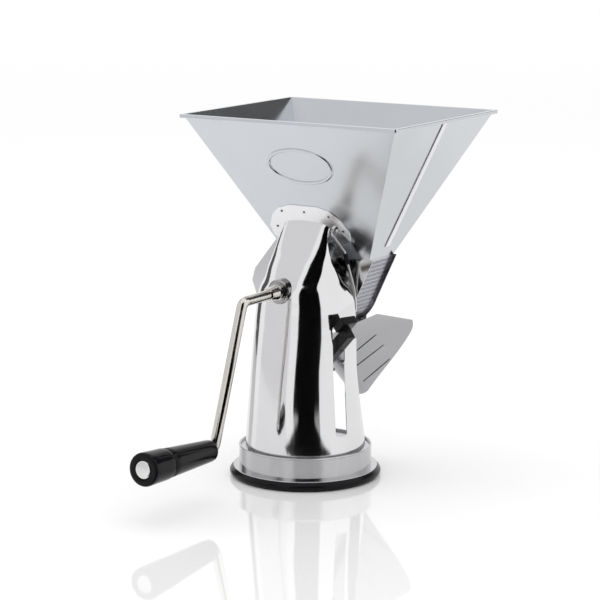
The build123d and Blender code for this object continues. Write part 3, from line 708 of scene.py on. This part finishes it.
class STRAINER_OT_sieve(bpy.types.Operator):
    """Sieve sheet with its rows of slanted perforations"""
    bl_idname = "strainer.sieve"
    bl_label = "Sieve"

    def execute(self, context):
        low, high = SIEVE_ENDS
        outer = tangent_wall(SIEVE_OUTER)
        inner = tangent_wall(SIEVE_INNER)
        ring = outer + inner[::-1]
        n = len(ring)
        verts = [(p.x, y, p.y) for y in (low, high) for p in ring]
        faces = [(i, (i + 1) % n, n + (i + 1) % n, n + i) for i in range(n)]
        m = len(outer)
        for side in (0, n):
            for i in range(m - 1):
                quad = (side + i, side + i + 1, side + n - 2 - i, side + n - 1 - i)
                faces.append(quad if side else quad[::-1])
        sheet = new_piece("sieve_skin", verts, faces, bpy.data.materials["sieve_steel"])
        finish_piece(tidy(sheet, 40), "stand", "steel_brushed", "sieve_screen")
        slots = self.perforations(outer, low, high)
        finish_piece(slots, "stand", "steel_brushed", "sieve_screen")
        return {"FINISHED"}

    def perforations(self, outer, low, high):
        """Dark slots set out on a mesh of points, one small mesh copied to each: painted shade in
        place of the holes.
        """
        length = 0.0
        marks = [0.0]
        for a, b in zip(outer, outer[1:]):
            length += (b - a).length
            marks.append(length)
        points, turns = [], []
        pitch_along, pitch_across = 5.0, 2.4
        rows = int(length / pitch_along) - 1
        cols = int((high - low - 3) / pitch_across)
        i = 0
        for row in range(rows):
            s = (row + 1) * pitch_along
            while marks[i + 1] < s:
                i += 1
            t = (s - marks[i]) / (marks[i + 1] - marks[i])
            p = outer[i].lerp(outer[i + 1], t)
            d = (outer[i + 1] - outer[i]).normalized()
            tilt = atan2(d.y, d.x)
            for col in range(cols):
                shift = 0.5 * (row % 2)
                points.append((p.x, low + 2.0 + (col + 0.5 + shift * 0.9) * pitch_across, p.y))
                turns.append(tilt)
        holder = new_piece("sieve_slots", points, [], None)
        lean = holder.data.attributes.new("lean", "FLOAT", "POINT")
        lean.data.foreach_set("value", turns)
        holder.modifiers.new("slots", "NODES").node_group = self.slot_tree()
        step = holder.modifiers["slots"]
        tree = step.node_group
        for item in tree.interface.items_tree:
            if item.item_type == "SOCKET" and item.name == "Length":
                step[item.identifier] = sizes().perforation
        baked(holder)
        return holder

    def slot_tree(self):
        """Geometry nodes: one slot on every point, leaning with the sheet."""
        tree = bpy.data.node_groups.new("sieve_slots", "GeometryNodeTree")
        face = tree.interface
        face.new_socket("Geometry", in_out="INPUT", socket_type="NodeSocketGeometry")
        face.new_socket("Length", in_out="INPUT", socket_type="NodeSocketFloat")
        face.new_socket("Geometry", in_out="OUTPUT", socket_type="NodeSocketGeometry")
        new, link = tree.nodes.new, tree.links.new
        start, end = new("NodeGroupInput"), new("NodeGroupOutput")
        shape = new("GeometryNodeMeshCircle")
        shape.fill_type = "NGON"
        shape.inputs["Vertices"].default_value = 8
        shape.inputs["Radius"].default_value = 0.5
        extrude = new("GeometryNodeExtrudeMesh")
        extrude.inputs["Offset Scale"].default_value = 0.12
        sized = new("GeometryNodeTransform")
        size = new("ShaderNodeCombineXYZ")
        width = new("ShaderNodeMath")
        width.operation = "MULTIPLY"
        width.inputs[1].default_value = 0.17
        link(start.outputs["Length"], size.inputs["X"])
        link(start.outputs["Length"], width.inputs[0])
        link(width.outputs[0], size.inputs["Y"])
        size.inputs["Z"].default_value = 0.001
        slant = new("GeometryNodeTransform")
        slant.inputs["Rotation"].default_value = (0, 0, radians(14))
        link(shape.outputs["Mesh"], extrude.inputs["Mesh"])
        link(extrude.outputs["Mesh"], sized.inputs["Geometry"])
        link(size.outputs[0], sized.inputs["Scale"])
        link(sized.outputs[0], slant.inputs["Geometry"])
        copies = new("GeometryNodeInstanceOnPoints")
        lean = new("GeometryNodeInputNamedAttribute")
        lean.data_type = "FLOAT"
        lean.inputs["Name"].default_value = "lean"
        turn = new("ShaderNodeCombineXYZ")
        flip = new("ShaderNodeMath")
        flip.operation = "MULTIPLY"
        flip.inputs[1].default_value = -1.0
        link(lean.outputs["Attribute"], flip.inputs[0])
        link(flip.outputs[0], turn.inputs["Y"])
        link(start.outputs["Geometry"], copies.inputs["Points"])
        link(slant.outputs[0], copies.inputs["Instance"])
        link(turn.outputs[0], copies.inputs["Rotation"])
        solid = new("GeometryNodeRealizeInstances")
        dress = new("GeometryNodeSetMaterial")
        dress.inputs["Material"].default_value = bpy.data.materials["slot_shadow"]
        link(copies.outputs[0], solid.inputs[0])
        link(solid.outputs[0], dress.inputs["Geometry"])
        link(dress.outputs[0], end.inputs[0])
        return tree


class STRAINER_OT_finishes(bpy.types.Operator):
    """Finishes of every piece"""
    bl_idname = "strainer.finishes"
    bl_label = "Finishes"

    def execute(self, context):
        c = colours()
        drawn_sheet("column_steel", c.polished, 0.07)
        polished_sheet("hopper_steel", c.panel, 0.17, 0.6)
        polished_sheet("mirror_steel", shade(c.polished, 0.8), 0.10, 0.2)
        # Lighter copy of the panel's polished steel: a painted highlight on the side seams and the
        # column's flange
        polished_sheet("seam_highlight_steel", (0.86, 0.86, 0.88), 0.20, 0.2)
        polished_sheet("weld_steel", (0.16, 0.16, 0.17), 0.30, 0.2)
        brushed_sheet("band_steel", shade(c.brushed, 1.15), 0.19, (60, 60, 4))
        brushed_sheet("chute_steel", shade(c.brushed, 0.95), 0.24, (5, 5, 5))
        brushed_sheet("sieve_steel", (0.62, 0.62, 0.68), 0.30, (5, 200, 5))
        turned_steel("bright_steel", (0.78, 0.78, 0.77), 0.14)
        turned_steel("crank_steel", (0.74, 0.71, 0.66), 0.12)
        turned_steel("boss_steel", (0.40, 0.39, 0.38), 0.16)
        soft_rubber("foot_rubber", c.rubber)
        # Near-black, made with the rubber shader: painted shade for the sieve's holes
        soft_rubber("slot_shadow", (0.03, 0.03, 0.04))
        moulded_plastic("grip_plastic", c.plastic, 0.13)
        moulded_plastic("lever_plastic", shade(c.plastic, 0.8), 0.20)
        bearing_bronze("bush_bronze", c.bronze)
        wear = {
            "hopper_steel": ("hopper_front", "hopper_rear", "rim_hem", "peel_hood"),
            "mirror_steel": ("front_plate", "rear_plate"),
            "seam_highlight_steel": ("column_flange", "side_seams"),
            "weld_steel": ("weld_spots",),
            "column_steel": ("column_shell",),
            "band_steel": ("base_band", "base_plate", "lever_bracket"),
            "chute_steel": ("juice_chute",),
            "sieve_steel": ("sieve_screen",),
            "crank_steel": ("crank_arm", "crank_ferrule"),
            "boss_steel": ("bearing_housing", "front_bush"),
            "foot_rubber": ("foot_ring", "cup_membrane", "cup_boss", "rotor_lips",
                            "clip_sleeve"),
            "grip_plastic": ("crank_grip", "grip_collar"),
            "lever_plastic": ("suction_lever",),
            "bush_bronze": ("basket_front_bush", "basket_rear_bush", "stem_guide"),
        }
        named = {node: steel for steel, nodes in wear.items() for node in nodes}
        for name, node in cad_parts.items():
            finish = bpy.data.materials[named.get(name, "bright_steel")]
            if not node.material_slots:
                node.data.materials.append(finish)
            for slot in node.material_slots:
                slot.material = finish
        return {"FINISHED"}


# ---- stage ---------------------------------------------------------------------------------
def stage_shader(name, tone, one_sided=False):
    """A card that shines evenly where it shows, from one side or from both."""
    material = bpy.data.materials.new(name)
    material.use_nodes = True
    nodes = material.node_tree.nodes
    nodes.clear()
    glow = nodes.new("ShaderNodeEmission")
    glow.inputs[0].default_value = rgba(tone)
    out = nodes.new("ShaderNodeOutputMaterial")
    link = material.node_tree.links.new
    if one_sided:
        side = nodes.new("ShaderNodeNewGeometry")
        mix = nodes.new("ShaderNodeMixShader")
        link(side.outputs["Backfacing"], mix.inputs[0])
        link(glow.outputs[0], mix.inputs[1])
        link(nodes.new("ShaderNodeBsdfTransparent").outputs[0], mix.inputs[2])
        link(mix.outputs[0], out.inputs[0])
    else:
        link(glow.outputs[0], out.inputs[0])
    return material


def card(name, centre, facing, size, material):
    """A flat card that only shows in the reflections of the object."""
    made = new_piece(name, [(-500, -500, 0), (500, -500, 0), (500, 500, 0), (-500, 500, 0)],
                     [(0, 1, 2, 3)], material, False)
    turn = (Vector(facing) - Vector(centre)).to_track_quat("Z", "Y").to_matrix().to_4x4()
    made.matrix_world = Matrix.Translation(centre) @ turn @ Matrix.Diagonal((*size, 1, 1))
    made.visible_camera = False
    made.visible_diffuse = False
    made.visible_shadow = False
    return made


def standing_card(name, azimuth, distance, size, low, material):
    """A card that stands upright and faces the object, its lower edge at a level."""
    a = radians(azimuth)
    middle = (distance * cos(a), distance * sin(a), low + size[1] / 2)
    return card(name, middle, (0, 0, middle[2]), size, material)


def lying_card(name, azimuth, distance, size, material):
    """A card that lies on the table face up, its length pointing at the object."""
    a = radians(azimuth)
    middle = Vector((distance * cos(a), distance * sin(a), 0.002))
    made = card(name, middle, middle + Vector((0, 0, 1)), size, material)
    turn = Matrix.Rotation(a + pi / 2, 4, "Z")
    made.matrix_world = Matrix.Translation(middle) @ turn @ Matrix.Diagonal((*size, 1, 1))
    return made


class STRAINER_OT_stage(bpy.types.Operator):
    """White glossy table, soft light and the camera"""
    bl_idname = "strainer.stage"
    bl_label = "Stage"

    def execute(self, context):
        self.floor()
        self.world(context)
        self.lights()
        self.camera(context)
        context.scene.view_settings.view_transform = "Standard"
        return {"FINISHED"}

    def floor(self):
        g = Graph("floor_gloss")
        sheen = g.noise(g.where(), 3.0, 2.0)
        g.set(colour=g.mix(sheen, colours().floor, shade(colours().floor, 1.02)),
              rough=sheen * 0.02 + 0.03, specular=0.6)
        seen = g.node("ShaderNodeLightPath")
        g.plug(g.shader.inputs["Emission Color"], g.mix(seen, (0, 0, 0), (1, 1, 1)))
        g.shader.inputs["Emission Strength"].default_value = 0.08
        half = 6000
        made = new_piece("table", [(-half, -half, 0), (half, -half, 0), (half, half, 0),
                                   (-half, half, 0)], [(0, 1, 2, 3)], g.material, False)
        place(made, Matrix.Translation((0, 0, -0.0002)))

    def world(self, context):
        world = bpy.data.worlds.new("studio")
        context.scene.world = world
        world.use_nodes = True
        nodes, links = world.node_tree.nodes, world.node_tree.links
        nodes.clear()
        path = nodes.new("ShaderNodeLightPath")
        seen = nodes.new("ShaderNodeMath")
        seen.operation = "MAXIMUM"
        links.new(path.outputs["Is Camera Ray"], seen.inputs[0])
        links.new(path.outputs["Is Glossy Ray"], seen.inputs[1])
        lit = nodes.new("ShaderNodeBackground")
        lit.inputs[0].default_value = (1.0, 1.0, 1.0, 1.0)
        lit.inputs[1].default_value = 0.85
        shown = nodes.new("ShaderNodeBackground")
        shown.inputs[0].default_value = (1.0, 1.0, 1.0, 1.0)
        shown.inputs[1].default_value = 1.0
        mix = nodes.new("ShaderNodeMixShader")
        out = nodes.new("ShaderNodeOutputWorld")
        links.new(seen.outputs[0], mix.inputs[0])
        links.new(lit.outputs[0], mix.inputs[1])
        links.new(shown.outputs[0], mix.inputs[2])
        links.new(mix.outputs[0], out.inputs[0])

    def lights(self):
        for name, at, size, watts in (
                ("overhead", (0.1, 0.2, 2.2), 2.2, 12), ("left", (-2.0, -1.2, 1.4), 1.6, 10)):
            lamp = bpy.data.lights.new(name, "AREA")
            lamp.size = size
            lamp.energy = watts
            made = bpy.data.objects.new(name, lamp)
            bpy.context.scene.collection.objects.link(made)
            made.location = at
            made.visible_glossy = False
            made.rotation_euler = (Vector((0, 0, 0.15)) - Vector(at)).to_track_quat(
                "-Z", "Y").to_euler()
        black = (0.003, 0.003, 0.003)
        dark = stage_shader("card_black", black)
        shadow = stage_shader("card_shadow", (0.10, 0.10, 0.10))
        pale = stage_shader("card_pale", (0.78, 0.78, 0.79))
        standing_card("flag_front", -54.0, 0.80, (0.72, 1.1), 0.0, dark)
        standing_card("screen_left", -130.0, 1.05, (1.5, 1.7), 0.0, pale)
        standing_card("flag_edge", 168.0, 1.00, (0.34, 1.0), 0.0, shadow)
        standing_card("flag_behind", 62.0, 1.90, (1.3, 0.8), 0.65, shadow)
        lying = stage_shader("card_lying", black, True)
        lying_card("flag_lying", -54.0, 0.50, (0.40, 0.56), lying)

    def camera(self, context):
        lens = bpy.data.cameras.new("camera")
        lens.lens = 135.97
        lens.sensor_width = 36.0
        lens.clip_end = 50.0
        made = bpy.data.objects.new("camera", lens)
        context.scene.collection.objects.link(made)
        made.location = (1.16515, -1.85094, 0.59428)
        made.rotation_euler = (radians(90 - 10.8445), 0, radians(32.327))
        context.scene.camera = made


# ---- panel and running ---------------------------------------------------------------------
class STRAINER_PT_panel(bpy.types.Panel):
    """Lists the strainer's pieces"""
    bl_idname = "STRAINER_PT_panel"
    bl_label = "Tomato strainer"
    bl_space_type = "VIEW_3D"
    bl_region_type = "UI"
    bl_category = "Strainer"

    def draw(self, context):
        for operator in OPERATORS:
            self.layout.operator(operator.bl_idname)
        for group in (context.scene.strainer_sizes, context.scene.strainer_colours):
            for name in group.bl_rna.properties.keys():
                if name not in ("rna_type", "name"):
                    self.layout.prop(group, name)


OPERATORS = (
    STRAINER_OT_finishes, STRAINER_OT_column, STRAINER_OT_medallion, STRAINER_OT_grip,
    STRAINER_OT_lever, STRAINER_OT_chute, STRAINER_OT_sheet_edges, STRAINER_OT_sieve,
    STRAINER_OT_stage,
)
CLASSES = (StrainerSizes, StrainerColours, *OPERATORS, STRAINER_PT_panel)


def register():
    for item in CLASSES:
        bpy.utils.register_class(item)
    bpy.types.Scene.strainer_sizes = bpy.props.PointerProperty(type=StrainerSizes)
    bpy.types.Scene.strainer_colours = bpy.props.PointerProperty(type=StrainerColours)


def unregister():
    del bpy.types.Scene.strainer_colours
    del bpy.types.Scene.strainer_sizes
    for item in reversed(CLASSES):
        bpy.utils.unregister_class(item)


def main():
    register()
    bpy.ops.strainer.finishes()
    bpy.ops.strainer.column()
    bpy.ops.strainer.medallion()
    bpy.ops.strainer.grip()
    bpy.ops.strainer.lever()
    bpy.ops.strainer.chute()
    bpy.ops.strainer.sheet_edges()
    bpy.ops.strainer.sieve()
    bpy.ops.strainer.stage()


if __name__ == "__main__":
    main()
